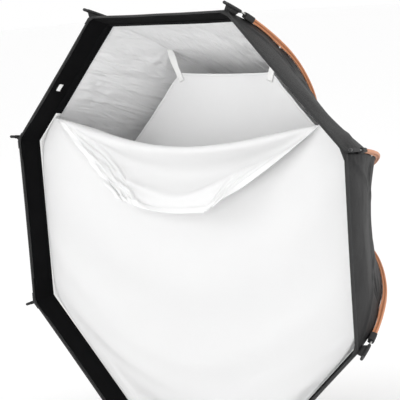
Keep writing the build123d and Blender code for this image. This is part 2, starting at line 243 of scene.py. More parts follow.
def ring_of(name, loops, material, step=0.01, uv_step=0.0015):
    """Skin over loops of points that close on themselves both ways."""
    columns = len(loops[0])
    points = [p for loop in loops for p in loop]
    faces = grid_faces(len(loops), columns, wrap=True)
    last = (len(loops) - 1) * columns
    faces += [(last + j, last + (j + 1) % columns, (j + 1) % columns, j) for j in range(columns)]
    uv = [(j * uv_step, i * step) for i in range(len(loops)) for j in range(columns)]
    return outside_out(new_object(name, points, faces, uv, (material,)))


def outside_out(piece):
    """Turns every face outwards."""
    edit = bmesh.new()
    edit.from_mesh(piece.data)
    bmesh.ops.recalc_face_normals(edit, faces=edit.faces)
    edit.to_mesh(piece.data)
    edit.free()
    return piece


def facing(piece, face, direction):
    """Turns an open sheet over if this face of it looks away from a direction."""
    if Vector(piece.data.polygons[face].normal).dot(Vector(direction)) < 0:
        piece.data.flip_normals()
    return piece


def baked(piece):
    """The piece with its modifiers applied."""
    depsgraph = bpy.context.evaluated_depsgraph_get()
    mesh = bpy.data.meshes.new_from_object(piece.evaluated_get(depsgraph))
    piece.modifiers.clear()
    piece.data = mesh
    return piece


def thickened(piece, thickness, offset=-1.0, inner_material=0):
    """The sheet as a closed solid, grown inwards, or both ways with an offset of 0."""
    solid = piece.modifiers.new("thickness", "SOLIDIFY")
    solid.thickness = thickness
    solid.offset = offset
    solid.material_offset = inner_material
    solid.material_offset_rim = 0
    return baked(piece)


def subdivided(piece):
    finer = piece.modifiers.new("finer", "SUBSURF")
    finer.levels = finer.render_levels = 1
    return baked(piece)


def joined(name, pieces):
    """One object from several, which keep their materials."""
    target = pieces[0]
    with bpy.context.temp_override(active_object=target, selected_editable_objects=list(pieces)):
        bpy.ops.object.join()
    target.name = target.data.name = name
    return target


def settle(piece, body, slot, *nodes):
    """The piece rides on a body and stands for CAD nodes; the slot is not used."""
    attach(piece, body)
    if nodes:
        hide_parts(*nodes)
    return piece


# -------------------------------- materials
class Value:
    """A shader socket that takes part in sums."""

    def __init__(self, finish, socket):
        self.finish, self.socket = finish, socket

    def maths(self, operation, a, b):
        return self.finish.node("ShaderNodeMath", {"operation": operation}, {0: a, 1: b})

    def __add__(self, other):
        return self.maths("ADD", self, other)

    def __mul__(self, other):
        return self.maths("MULTIPLY", self, other)

    __radd__ = __add__
    __rmul__ = __mul__


class Finish:
    """A material under construction, with one Principled shader."""

    def __init__(self, name, color, roughness, **constants):
        self.material = bpy.data.materials.new(name)
        self.material.use_nodes = True
        self.tree = self.material.node_tree
        self.shader = self.tree.nodes["Principled BSDF"]
        self.set("Base Color", (*color, 1.0))
        self.set("Roughness", roughness)
        for name, value in constants.items():
            self.set(name.replace("_", " ").title(), value)

    def node(self, kind, settings=None, inputs=None, output=0):
        made = self.tree.nodes.new(kind)
        for name, value in (settings or {}).items():
            setattr(made, name, value)
        for key, value in (inputs or {}).items():
            self.feed(made.inputs[key], value)
        return Value(self, made.outputs[output])

    def feed(self, socket, value):
        if isinstance(value, Value):
            self.tree.links.new(value.socket, socket)
        else:
            socket.default_value = value

    def set(self, name, value):
        self.feed(self.shader.inputs[name], value)

    def place(self, scale=(1, 1, 1), cloth=False, turn=0.0):
        """Object coordinates, or the cloth's own, stretched by scale."""
        if cloth:
            source = self.node("ShaderNodeUVMap", {"uv_map": "cloth"})
        else:
            source = self.node("ShaderNodeTexCoord", output=3)
        inputs = {0: source, "Scale": scale, "Rotation": (0, 0, turn)}
        return self.node("ShaderNodeMapping", None, inputs)

    def noise(self, place, scale, detail=3.0, roughness=0.5, distortion=0.0):
        inputs = {"Vector": place, "Scale": scale, "Detail": detail, "Roughness": roughness}
        inputs["Distortion"] = distortion
        return self.node("ShaderNodeTexNoise", None, inputs)

    def wave(self, place, scale, axis="X", distortion=0.0):
        settings = {"wave_type": "BANDS", "bands_direction": axis, "wave_profile": "SIN"}
        return self.node("ShaderNodeTexWave", settings,
                         {"Vector": place, "Scale": scale, "Distortion": distortion}, 1)

    def colour(self, share, low, high):
        """Base colour that runs from low to high over the surface."""
        inputs = {0: share, 6: (*low, 1.0), 7: (*high, 1.0)}
        self.set("Base Color", self.node("ShaderNodeMix", {"data_type": "RGBA"}, inputs, 2))

    def bump(self, height, strength, distance):
        inputs = {"Height": height, "Strength": strength, "Distance": distance}
        self.set("Normal", self.node("ShaderNodeBump", None, inputs))

    def translucent(self, share, color):
        """Lets a share of the light through, as thin cloth does."""
        through = self.node("ShaderNodeBsdfTranslucent", None, {"Color": (*color, 1.0)})
        face = Value(self, self.shader.outputs[0])
        mixed = self.node("ShaderNodeMixShader", None, {0: share, 1: face, 2: through})
        output = self.tree.nodes["Material Output"]
        self.tree.links.new(mixed.socket, output.inputs["Surface"])
        return self


def bands(pitch):
    """Wave scale for a pitch; its bands stand 0.63 of the pitch apart."""
    return 1 / pitch / tau * pi


def weave(finish, place, pitch):
    """Height of a plain weave, the product of two sets of bands of this pitch."""
    scale = bands(pitch)
    return finish.wave(place, scale, "X") * finish.wave(place, scale, "Y")


def shell_black():
    finish = Finish("shell_black", (0.006, 0.006, 0.0062), 0.5)
    finish.set("Specular IOR Level", 0.08)
    place = finish.place(cloth=True)
    patch = finish.noise(place, 9, 4)
    finish.colour(patch, (0.003, 0.003, 0.0032), (0.008, 0.0078, 0.008))
    finish.set("Roughness", 0.4 + patch * 0.2)
    crease = finish.noise(finish.place((1, 0.35, 1), cloth=True), 26, 3, distortion=0.6)
    finish.bump(crease * 0.9 + weave(finish, place, 1.4 * MM) * 0.04, 0.5, 3 * MM)
    return finish.material


def silver_lining():
    finish = Finish("silver_lining", (0.9, 0.9, 0.905), 0.45, metallic=0.1)
    place = finish.place(cloth=True)
    broad = finish.noise(finish.place((1.6, 0.6, 1), cloth=True), 6, 4, distortion=0.8)
    fine = finish.noise(finish.place((1.6, 0.35, 1), cloth=True, turn=0.15), 24, 2, distortion=1.2)
    # The colour follows the broad crinkles' height, lighter on their crests and darker in their hollows:
    # painted shade.
    finish.colour(broad, (0.86, 0.86, 0.865), (0.98, 0.98, 0.98))
    finish.set("Roughness", 0.34 + fine * 0.16)
    height = broad * 2.2 + fine * 0.7 + weave(finish, place, 1.2 * MM) * 0.01
    finish.bump(height, 0.9, 12 * MM)
    return finish.material


def lip_black():
    finish = Finish("lip_black", (0.003, 0.003, 0.0032), 0.95)
    finish.set("Specular IOR Level", 0.1)
    place = finish.place(cloth=True)
    fuzz = finish.noise(place, 900, 2)
    patch = finish.noise(place, 18, 3)
    finish.colour(patch, (0.002, 0.002, 0.0022), (0.0045, 0.0045, 0.005))
    finish.bump(fuzz, 0.5, 0.6 * MM)
    return finish.material


def loop_black():
    finish = Finish("loop_black", (0.003, 0.003, 0.0033), 1.0)
    finish.set("Specular IOR Level", 0.12)
    place = finish.place(cloth=True)
    loops = finish.node("ShaderNodeTexVoronoi", None, {"Vector": place, "Scale": 700.0})
    patch = finish.noise(place, 60, 2)
    finish.colour(patch, (0.002, 0.002, 0.0022), (0.005, 0.005, 0.0055))
    finish.bump(loops, 0.8, 1 * MM)
    return finish.material


def webbing_black():
    finish = Finish("webbing_black", (0.008, 0.008, 0.0085), 0.7)
    place = finish.place(cloth=True)
    ribs = finish.wave(place, bands(2.2 * MM), "Y")
    patch = finish.noise(place, 60, 3)
    finish.colour(patch, (0.005, 0.005, 0.0055), (0.013, 0.013, 0.0135))
    finish.bump(ribs + patch * 0.5, 0.6, 0.5 * MM)
    return finish.material


def piping_black():
    finish = Finish("piping_black", (0.01, 0.01, 0.0105), 0.55)
    place = finish.place(cloth=True)
    patch = finish.noise(place, 45, 3)
    finish.colour(patch, (0.006, 0.006, 0.0062), (0.014, 0.014, 0.0145))
    finish.bump(weave(finish, place, 1.3 * MM) * 0.4 + patch, 0.4, 0.7 * MM)
    return finish.material


def copper_tape():
    finish = Finish("copper_tape", (0.6, 0.23, 0.095), 0.5, sheen_weight=0.1, sheen_roughness=0.4)
    place = finish.place(cloth=True)
    patch = finish.noise(finish.place((1, 0.2, 1), cloth=True), 70, 3)
    finish.colour(patch, (0.5, 0.175, 0.066), (0.68, 0.285, 0.125))
    finish.set("Roughness", 0.45 + patch * 0.2)
    finish.bump(weave(finish, place, 1.1 * MM) * 0.5 + patch * 0.8, 0.45, 0.6 * MM)
    return finish.material


def white_cloth(name, through, color=(0.9, 0.9, 0.9), crease=0.3):
    finish = Finish(name, color, 0.72, sheen_weight=0.15, sheen_roughness=0.4)
    place = finish.place(cloth=True)
    patch = finish.noise(place, 5, 3)
    low = tuple(c * 0.965 for c in color)
    finish.colour(patch, low, color)
    creases = finish.noise(finish.place((1, 0.5, 1), cloth=True), 16, 4, distortion=0.8)
    finish.bump(creases + weave(finish, place, 1.2 * MM) * 0.03, crease, 2.5 * MM)
    if through:
        finish.translucent(through, color)
    return finish.material


def white_tape():
    finish = Finish("white_tape", (0.92, 0.92, 0.91), 0.8)
    place = finish.place(cloth=True)
    ribs = finish.wave(place, bands(1.6 * MM), "Y")
    patch = finish.noise(place, 80, 2)
    finish.colour(patch, (0.87, 0.87, 0.86), (0.94, 0.94, 0.93))
    finish.bump(ribs, 0.4, 0.4 * MM)
    return finish.material


def thread(name, color):
    finish = Finish(name, color, 0.7)
    strands = finish.noise(finish.place(), 900, 1)
    finish.colour(strands, tuple(c * 0.8 for c in color), color)
    return finish.material


def metal(name, color, roughness, scratch=0.12, metallic=1.0, stretch=(1, 1, 1)):
    finish = Finish(name, color, roughness, metallic=metallic)
    marks = finish.noise(finish.place(stretch), 220, 4)
    finish.colour(marks, tuple(c * 0.86 for c in color), color)
    finish.set("Roughness", roughness - scratch / 2 + marks * scratch)
    finish.bump(marks, 0.12, 0.2 * MM)
    return finish.material


def coated_metal():
    finish = Finish("ring_coat", (0.022, 0.022, 0.023), 0.5, metallic=0.0, coat_weight=0.15)
    place = finish.place()
    grain = finish.noise(place, 1400, 2)
    wear = finish.noise(place, 90, 5)
    finish.colour(wear, (0.016, 0.016, 0.017), (0.032, 0.032, 0.033))
    finish.set("Roughness", 0.42 + grain * 0.18)
    finish.bump(grain, 0.3, 0.2 * MM)
    return finish.material


def moulded_black():
    finish = Finish("moulded_black", (0.014, 0.014, 0.015), 0.42)
    place = finish.place()
    grain = finish.noise(place, 1800, 2)
    patch = finish.noise(place, 120, 3)
    finish.colour(patch, (0.011, 0.011, 0.012), (0.021, 0.021, 0.022))
    finish.set("Roughness", 0.36 + grain * 0.16)
    finish.bump(grain, 0.25, 0.15 * MM)
    return finish.material


SHELL_BLACK = shell_black()
SILVER = silver_lining()
LIP_BLACK = lip_black()
LOOP_BLACK = loop_black()
WEBBING = webbing_black()
PIPING = piping_black()
COPPER = copper_tape()
DIFFUSER_WHITE = white_cloth("diffuser_white", 0.35, (0.94, 0.94, 0.94), 0.6)
BAFFLE_WHITE = white_cloth("baffle_white", 0.2, (0.97, 0.97, 0.97), 0.6)
HEM_WHITE = white_cloth("hem_white", 0.1, (0.9, 0.9, 0.9), 0.2)
TAPE_WHITE = white_tape()
WHITE_THREAD = thread("white_thread", (0.9, 0.9, 0.89))
COPPER_THREAD = thread("copper_thread", (0.5, 0.19, 0.08))
ROD_STEEL = metal("rod_steel", (0.62, 0.62, 0.6), 0.3)
SOCKET_STEEL = metal("socket_steel", (0.5, 0.5, 0.5), 0.35)
TURNED_ALUMINIUM = metal("turned_aluminium", (0.78, 0.78, 0.79), 0.34, stretch=(1, 30, 1))
RING_COAT = coated_metal()
MOULDED = moulded_black()


# -------------------------------- stitches
def stitch_tree():
    """Geometry nodes: a thread bump at every step along the paths of the mesh."""
    tree = bpy.data.node_groups.new("stitches", "GeometryNodeTree")
    face = tree.interface
    face.new_socket("Geometry", in_out="INPUT", socket_type="NodeSocketGeometry")
    for name in ("Spacing", "Stitch length", "Thread radius"):
        face.new_socket(name, in_out="INPUT", socket_type="NodeSocketFloat")
    face.new_socket("Thread", in_out="INPUT", socket_type="NodeSocketMaterial")
    face.new_socket("Geometry", in_out="OUTPUT", socket_type="NodeSocketGeometry")
    new, link = tree.nodes.new, tree.links.new
    given, result = new("NodeGroupInput"), new("NodeGroupOutput")
    curve = new("GeometryNodeMeshToCurve")
    link(given.outputs["Geometry"], curve.inputs["Mesh"])
    spots = new("GeometryNodeCurveToPoints")
    spots.mode = "LENGTH"
    link(curve.outputs["Curve"], spots.inputs["Curve"])
    link(given.outputs["Spacing"], spots.inputs["Length"])
    ball = new("GeometryNodeMeshUVSphere")
    ball.inputs["Segments"].default_value = 5
    ball.inputs["Rings"].default_value = 4
    size = new("ShaderNodeCombineXYZ")
    half = new("ShaderNodeMath")
    half.operation = "MULTIPLY"
    half.inputs[1].default_value = 0.5
    link(given.outputs["Stitch length"], half.inputs[0])
    link(given.outputs["Thread radius"], size.inputs[0])
    link(given.outputs["Thread radius"], size.inputs[1])
    link(half.outputs[0], size.inputs[2])
    turn = new("FunctionNodeAlignRotationToVector")
    turn.axis = "Z"
    link(spots.outputs["Tangent"], turn.inputs["Vector"])
    put = new("GeometryNodeInstanceOnPoints")
    link(spots.outputs["Points"], put.inputs["Points"])
    link(ball.outputs["Mesh"], put.inputs["Instance"])
    link(turn.outputs["Rotation"], put.inputs["Rotation"])
    link(size.outputs[0], put.inputs["Scale"])
    real = new("GeometryNodeRealizeInstances")
    link(put.outputs["Instances"], real.inputs["Geometry"])
    paint = new("GeometryNodeSetMaterial")
    link(real.outputs["Geometry"], paint.inputs["Geometry"])
    link(given.outputs["Thread"], paint.inputs["Material"])
    link(paint.outputs["Geometry"], result.inputs["Geometry"])
    return tree


STITCHES = stitch_tree()


def stitched(name, paths, colour, body, slot, spacing=4.2 * MM, length=3.2 * MM, radius=0.35 * MM):
    """Rows of stitches along paths of points, as one plain mesh."""
    points, edges = [], []
    for path in paths:
        edges += [(len(points) + i, len(points) + i + 1) for i in range(len(path) - 1)]
        points += [tuple(p) for p in path]
    mesh = bpy.data.meshes.new(name)
    mesh.from_pydata(points, edges, [])
    piece = placed(name, mesh)
    rows = piece.modifiers.new("rows", "NODES")
    rows.node_group = STITCHES
    given = {"Spacing": spacing, "Stitch length": length, "Thread radius": radius, "Thread": colour}
    for item in STITCHES.interface.items_tree:
        if item.in_out == "INPUT" and item.name in given:
            rows[item.identifier] = given[item.name]
    baked(piece)
    piece.data.polygons.foreach_set("use_smooth", [True] * len(piece.data.polygons))
    return settle(piece, body, slot)


# -------------------------------- outlines
def rounded(x, power):
    """x to a power, with its sign kept."""
    return abs(x) ** power * (1 if x > 0 else -1)


GROOVE_HALF = 1.1 * MM


def superellipse(half_width, half_height, power, steps, groove=0.0):
    """Closed outline, as (side, lift), with a groove pressed along the middle of its top."""
    outline = []
    for i in range(steps):
        t = tau * i / steps
        side = rounded(cos(t), 2 / power) * half_width
        lift = rounded(sin(t), 2 / power) * half_height
        if lift > 0:
            lift -= groove * exp(-((side / GROOVE_HALF) ** 2))
        outline.append((side, lift))
    return outline


# -------------------------------- shell panels
PANEL_ROWS = 140
PANEL_COLUMNS = 64
PANEL_END = shell_along(RIM_Y + HEM_DEPTH * 0.7)
PANEL_RUN = PANEL_END - PANEL_START
STRAP_SHARE = (shell_along(BAFFLE_Y) - PANEL_START) / PANEL_RUN
HALF_SIDE = 0.19  # half a panel's width where the straps hold it, in metres
BROAD_FOLD = 3.6 * MM
MIDDLE_FOLD = 1.0 * MM
FINE_FOLD = 0.45 * MM
CORNER_FOLD = 2.4 * MM
SEAM_PUCKER = 0.5 * MM
STRAP_STAR = 2.6 * MM


def panel_fold(u, v, number):
    """How far a stretched panel stands off its smooth shape: u across from seam to seam, v to the rim."""
    inner = max(0.0, 1 - u * u)
    free = inner * max(0.0, sin(pi * v)) ** 0.6
    fold = BROAD_FOLD * free * ripple(u * 1.4, v * 2.6, number * 7.3)
    fold += MIDDLE_FOLD * free * ripple(u * 3.0, v * 9.0, number * 3.1 + 40)
    fold += FINE_FOLD * free * ripple(u * 7.0 + v * 3, v * 26.0, number * 1.7 + 80)
    for side in (-1, 1):
        reach = 1 - v
        line = side * (1 - 1.15 * reach ** 0.9)
        gap = (u - line) / (0.03 + 0.06 * reach)
        fade = smooth(reach / 0.08) * (1 - smooth((reach - 0.3) / 0.4))
        fold += CORNER_FOLD * exp(-gap * gap) * fade
        pucker = sin(v * 150 + number + side) * exp(-(1 - side * u) / 0.07)
        fold += SEAM_PUCKER * pucker * smooth((1 - side * u) / 0.02)
        away, down = (1 - side * u) * HALF_SIDE, (v - STRAP_SHARE) * PANEL_RUN
        reach = hypot(away, down)
        star = sin(atan2(down, away) * 9 + number) * exp(-reach / 0.07) * smooth(reach / 0.02)
        fold += STRAP_STAR * star * smooth(away / 0.05)
    return fold


def panel(number):
    """One sewn panel: black outside, silver inside, hollowed between its two rods."""
    angle = ROD_ANGLES[number - 1] + HALF
    points, uv = [], []
    for i in range(PANEL_ROWS + 1):
        v = i / PANEL_ROWS
        along = PANEL_START + PANEL_RUN * v
        r, y, heading, sag = shell_point(along)
        tilt = atan2(sin(heading), cos(heading) * cos(HALF))
        up = outward(angle) * sin(tilt) + REARWARD * cos(tilt)
        centre = outward(angle) * (r * cos(HALF)) + REARWARD * y
        half = r * sin(HALF)
        for j in range(PANEL_COLUMNS + 1):
            u = 2 * j / PANEL_COLUMNS - 1
            lift = panel_fold(u, v, number) - sag * (1 - abs(u) ** 2.2)
            points.append(centre + around(angle) * (half * u) + up * lift)
            uv.append((half * u, along))
    faces = grid_faces(PANEL_ROWS + 1, PANEL_COLUMNS + 1)
    piece = new_object(f"panel_{number}", points, faces, uv, (SHELL_BLACK, SILVER))
    facing(piece, len(faces) // 2, outward(angle))
    thickened(piece, SHELL_THICKNESS, inner_material=1)
    settle(piece, "box", "shell_cloth", f"shell_panel_{number}")
    widths = [2 * sin(HALF) * shell_point(PANEL_START + PANEL_RUN * i / 40)[0] for i in range(41)]
    area = PANEL_RUN * sum(widths) / len(widths)
    return piece


for number in range(1, SIDES + 1):
    panel(number)


def rear_cuff():
    """Gathered cloth ring from the panels' rear edges in to the light's ring, with a bound inner edge."""
    rings, spokes, pleats = 12, 240, 56
    outer, outer_y, _, _ = shell_point(PANEL_START)
    points, uv = [], []
    for i in range(rings + 1):
        share = i / rings
        for j in range(spokes):
            angle = ROD_ANGLES[0] + tau * j / spokes
            off = (tau * j / spokes) % (tau / SIDES) - HALF
            edge = outer * cos(HALF) / cos(off)
            r = CUFF_INNER_RADIUS + (edge - CUFF_INNER_RADIUS) * share
            pleat = 0.7 * MM * sin(j * tau * pleats / spokes) * (1 - share) * smooth(share * 6)
            y = CUFF_INNER_Y + (outer_y - CUFF_INNER_Y) * share ** 2 + pleat
            points.append(outward(angle) * r + REARWARD * y)
            uv.append((r * cos(angle), r * sin(angle)))
    piece = new_object("cuff", points, grid_faces(rings + 1, spokes, wrap=True), uv, (SHELL_BLACK,))
    thickened(piece, SHELL_THICKNESS, 0.0)
    settle(piece, "box", "shell_cloth", "rear_cuff")
    loops = []
    for j in range(spokes):
        angle = tau * j / spokes
        shape = superellipse(1.6 * MM, 1.3 * MM, 2.2, 12)
        loops.append([outward(angle) * (CUFF_INNER_RADIUS + a) + REARWARD * (CUFF_INNER_Y + b)
                      for a, b in shape])
    settle(ring_of("cuff_binding", loops, PIPING), "box", "shell_cloth")


rear_cuff()


# -------------------------------- rings round the rim
SIDE_STEPS = 40
CORNER_STEPS = 6
PATH_STEP = 11 * MM
RIM_ROUND = 12 * MM
RIM_BOW = 1.5 * MM
RIM_WANDER = 0.5 * MM
PIPING_POINTS = 20
PIPING_GROOVE = 0.9 * MM


def octagon_path(corner, rounding=0.0, bow=0.0):
    """Points round an octagon as (position, outward direction, place along the side from -1 to 1, side)."""
    path = []
    flat = corner * cos(HALF)
    reach = flat * (sin(HALF) / cos(HALF))
    trim = rounding * sin(HALF) / cos(HALF)
    for k in range(SIDES):
        middle = ROD_ANGLES[k] + HALF
        for i in range(SIDE_STEPS + 1):
            u = 2 * i / SIDE_STEPS - 1
            spot = outward(middle) * (flat - bow * (1 - u * u)) + around(middle) * (u * (reach - trim))
            path.append((spot, outward(middle), u, k))
        turn_at = ROD_ANGLES[(k + 1) % SIDES]
        centre = outward(turn_at) * (corner - rounding / cos(HALF))
        for i in range(1, CORNER_STEPS):
            angle = middle + tau / SIDES * i / CORNER_STEPS
            path.append((centre + outward(angle) * rounding, outward(angle), 1.0, k))
    return path


def rim_piping():
    """Bound edge of the rim: two beads of piping side by side."""
    loops = []
    path = octagon_path(CORNER - 0.5 * MM, RIM_ROUND, RIM_BOW)
    for n, (spot, out, u, k) in enumerate(path):
        wander = RIM_WANDER * ripple(n * 0.11, 3.0)
        loop = []
        for i in range(PIPING_POINTS):
            t = tau * i / PIPING_POINTS
            across = rounded(cos(t), 0.75) * HEM_WIDTH / 2
            depth = rounded(sin(t), 0.75) * HEM_DEPTH / 2
            across -= PIPING_GROOVE * exp(-((depth / PIPING_GROOVE) ** 2)) * (1 if cos(t) > 0 else -1)
            out_by = across - HEM_WIDTH / 2 + wander * (1 - u * u)
            loop.append(spot + out * out_by + REARWARD * (RIM_Y + HEM_DEPTH / 2 + depth))
        loops.append(loop)
    return settle(ring_of("rim_piping", loops, PIPING), "box", "shell_cloth", "front_hem")


rim_piping()


def rear_corner():
    """Corner distance of the lip's rear edge, from the CAD node."""
    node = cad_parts["front_lip"]
    return max(hypot(v.co.x, v.co.z) for v in node.data.vertices if v.co.y > LIP_REAR_Y - 0.1 * MM)


LIP_FRONT_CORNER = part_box("front_lip")[1].x / cos(HALF)
LIP_REAR_CORNER = rear_corner()


def lip_corner(y, inset):
    """Corner distance of the lip at a y, this much inside its outer face."""
    share = (y - LIP_FRONT_Y) / (LIP_REAR_Y - LIP_FRONT_Y)
    return LIP_FRONT_CORNER + (LIP_REAR_CORNER - LIP_FRONT_CORNER) * share - inset / cos(HALF)


def octagon_band(name, y_front, y_rear, inset, rows, thickness, material):
    """Thin band of cloth that follows the lip between two depths."""
    points, uv = [], []
    for i in range(rows + 1):
        y = y_front + (y_rear - y_front) * i / rows
        path = octagon_path(lip_corner(y, inset), LIP_ROUND)
        run = 0.0
        for n, (spot, out, u, k) in enumerate(path):
            free = (1 - u * u) * smooth((y - LIP_FRONT_Y) / (LIP_REAR_Y - LIP_FRONT_Y))
            shift = LIP_SWAY * free * ripple(n * 0.05, i * 0.3, k)
            points.append(spot + out * (shift - LIP_SWAY * 0.5 * free) + REARWARD * y)
            uv.append((run, y))
            run += PATH_STEP
    columns = len(path)
    piece = new_object(name, points, grid_faces(rows + 1, columns, wrap=True), uv, (material,))
    facing(piece, SIDE_STEPS // 2, path[SIDE_STEPS // 2][1])
    return thickened(piece, thickness)


def lip():
    """Wall of the recess behind the rim, and the loop tape along its rear edge."""
    wall = octagon_band("lip_wall", RIM_Y + HEM_DEPTH * 0.6, LIP_REAR_Y, 0.0, 10, LIP_THICKNESS, LIP_BLACK)
    settle(wall, "box", "lip_cloth", "front_lip")
    around_it = 2 * SIDES * sin(HALF) * (lip_corner(LIP_FRONT_Y, 0) + LIP_REAR_CORNER) / 2
    loops = octagon_band("loop_tape", LIP_REAR_Y - LOOP_WIDTH, LIP_REAR_Y, LOOP_INSET, 4, LOOP_THICKNESS,
                         LOOP_BLACK)
    settle(loops, "box", "lip_cloth", "loop_strip")


lip()

LABEL_LENGTH = 25 * MM
LABEL_WIDTH = 11 * MM
LABEL_CURL = 0.9 * MM


def lip_label():
    """Small blank woven label on the upper left of the lip, slightly curled."""
    low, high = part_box("size_label")
    centre = (np.array(low) + np.array(high)) / 2
    side = ROD_ANGLES[0] + HALF
    slope = atan2(lip_corner(LIP_FRONT_Y, 0) - LIP_REAR_CORNER, LIP_REAR_Y - LIP_FRONT_Y)
    across = REARWARD * cos(slope) - outward(side) * sin(slope)
    normal = outward(side) * cos(slope) + REARWARD * sin(slope)
    columns, rows = 26, 12
    points, uv = [], []
    for i in range(rows):
        for j in range(columns):
            a = (j / (columns - 1) - 0.5) * LABEL_LENGTH
            b = (i / (rows - 1) - 0.5) * LABEL_WIDTH
            curl = LABEL_CURL * (2 * a / LABEL_LENGTH) ** 4 + 0.3 * MM * ripple(a * 160, b * 160)
            points.append(centre + around(side) * a + across * b - normal * curl)
            uv.append((a, b))
    piece = new_object("label", points, grid_faces(rows, columns), uv, (TAPE_WHITE,))
    thickened(piece, 0.5 * MM, 0.0)
    settle(piece, "box", "label_tape", "size_label")
    ends = [[centre + around(side) * (end * 11.3 * MM) + across * (t * 4.6 * MM) - normal * 0.6 * MM
             for t in (-1, 0, 1)] for end in (-1, 1)]
    stitched("label_stitches", ends, WHITE_THREAD, "box", "label_tape", 2 * MM, 1.5 * MM, 0.25 * MM)


lip_label()


# -------------------------------- on the rods
SLEEVE_TOP = 4.8  # millimetres above the rod's axis
SLEEVE_FOOT = 8.8  # below it


def sleeve_section(swell, steps=14):
    """Outline of a tape folded over the rod: round at the top, then two flat layers down to a seam."""
    half = []
    for i in range(steps + 1):
        lift = (SLEEVE_TOP - (SLEEVE_TOP + SLEEVE_FOOT) * i / steps) * MM
        if lift > 0:
            across = 4.4 * MM * (1 - (lift / (SLEEVE_TOP * MM)) ** 2) ** 0.5
        else:
            down = -lift / (SLEEVE_FOOT * MM)
            across = (4.4 - 2.4 * smooth(down * 2.2) + 1.3 * smooth((down - 0.55) / 0.25)) * MM
        half.append((max(across, 0.3 * MM) * swell, lift))
    return half + [(-side, lift) for side, lift in reversed(half)]


def on_rod(name, angle, start, end, steps, outline_at, material):
    """Skin round a rod between two lengths; outline_at gives its outline at a share of the way."""
    loops = []
    for i in range(steps + 1):
        share = i / steps
        along = start + (end - start) * share
        loops.append([rod_place(angle, along, side, lift) for side, lift in outline_at(share, along)])
    return tube(name, loops, (material,), 1.5 * MM)


SLEEVE_START = rod_along(lambda p: p[0] >= SLEEVE_REAR_RADIUS)
SLEEVE_END = rod_along(lambda p: p[1] <= RIM_Y + SLEEVE_FRONT)


def sleeve(number):
    """Orange tape sewn round a rod, which leans and swells a little along its way."""
    angle = ROD_ANGLES[number - 1]

    def outline(share, along):
        lean = 0.12 * ripple(along * 9, number * 2.0 + 20)
        section = sleeve_section(1 + 0.08 * ripple(along * 22, number * 5.0))
        reach = (seam_depth(along) - 0.4 * MM) / (SLEEVE_FOOT * MM)
        return [(side + lean * min(lift, 0), lift if lift > 0 else lift * reach) for side, lift in section]

    piece = on_rod(f"sleeve_{number}", angle, SLEEVE_START, SLEEVE_END + 3 * MM, 110, outline, COPPER)
    return settle(piece, "box", "sleeve_cloth", f"rod_sleeve_{number}")


def sleeve_end(number):
    """Black webbing end of a sleeve, open towards the rim."""
    angle = ROD_ANGLES[number - 1]

    def outline(share, along):
        squeeze = 1 - 0.12 * smooth((share - 0.85) / 0.15)
        section = superellipse(5.4 * MM, 8.2 * MM * squeeze, 4.5, 28, 0.4 * MM)
        return [(side, lift - 2 * MM) for side, lift in section]

    end = SLEEVE_END + SLEEVE_END_LENGTH
    return on_rod(f"sleeve_end_{number}", angle, SLEEVE_END, end, 14, outline, WEBBING)


TAB_FRONT = ROD_LENGTH - 11.3 * MM
TAB_REAR = TAB_FRONT - 62 * MM
PATCH_LEG = 26 * MM
PATCH_PROUD = 0.8 * MM
PATCH_DEPTH = 4 * MM


def tab_fold(number, angle):
    """The tab's webbing where it goes round the rod."""
    def outline(share, along):
        return superellipse(4.6 * MM, 4.2 * MM, 2.6, 20, 0.3 * MM)

    return on_rod(f"tab_fold_{number}", angle, TAB_REAR, TAB_FRONT, 14, outline, WEBBING)


def tab_fin(number, angle):
    """The tab's two layers between the rod and the shell's seam."""
    steps = 16
    loops = []
    for i in range(steps + 1):
        share = i / steps
        top = rod_place(angle, TAB_REAR + (TAB_FRONT - TAB_REAR) * share)
        r, y, _, _ = shell_point(RIM_ALONG - 52 * MM * (1 - share))
        low = outward(angle) * (r - 2 * MM) + REARWARD * max(y, RIM_Y + 1 * MM)
        half = 1.5 * MM
        loops.append([low - around(angle) * half, top - around(angle) * half,
                      top + around(angle) * half, low + around(angle) * half])
    return tube(f"tab_fin_{number}", loops, (WEBBING,), 6 * MM)


def tab_patch(number, angle):
    """The tab's webbing across the rim's corner."""
    reach = CORNER - 1 * MM
    front, rear = REARWARD * (RIM_Y - PATCH_PROUD), REARWARD * (RIM_Y + PATCH_DEPTH)
    loops = []
    for t in (-1, -0.6, -0.2, 0.2, 0.6, 1):
        aside = around(angle) * (t * PATCH_LEG * cos(HALF))
        edge = outward(angle) * (reach - abs(t) * PATCH_LEG * sin(HALF)) + aside
        back = outward(angle) * (reach - PATCH_LEG * sin(HALF) - 0.5 * MM) + aside
        loops.append([edge + rear, edge + front, back + front, back + rear])
    return tube(f"tab_patch_{number}", loops, (WEBBING,), 6 * MM)


def corner_tab(number):
    """Webbing gusset from the rim corner, folded round the rod."""
    angle = ROD_ANGLES[number - 1]
    parts = [tab_fold(number, angle), tab_fin(number, angle), tab_patch(number, angle)]
    gusset = joined(f"corner_gusset_{number}", parts)
    return settle(gusset, "box", "webbing", f"corner_tab_{number}")


def seam_binding(number):
    """Folded edge of the lining along a seam, inside the shell."""
    angle = ROD_ANGLES[number - 1]

    def outline(share, along):
        return [(side, lift - seam_depth(along) - 1.3 * MM)
                for side, lift in superellipse(1.7 * MM, 0.9 * MM, 2.2, 12)]

    return on_rod(f"seam_{number}", angle, PANEL_START + 2 * MM, PANEL_END, 110, outline, SILVER)


for number in range(1, SIDES + 1):
    sleeve(number)
    corner_tab(number)
settle(joined("seam_bindings", [seam_binding(n) for n in range(1, SIDES + 1)]), "box", "shell_cloth")
settle(joined("sleeve_ends", [sleeve_end(n) for n in range(1, SIDES + 1)]), "box", "webbing", "sleeve_caps")


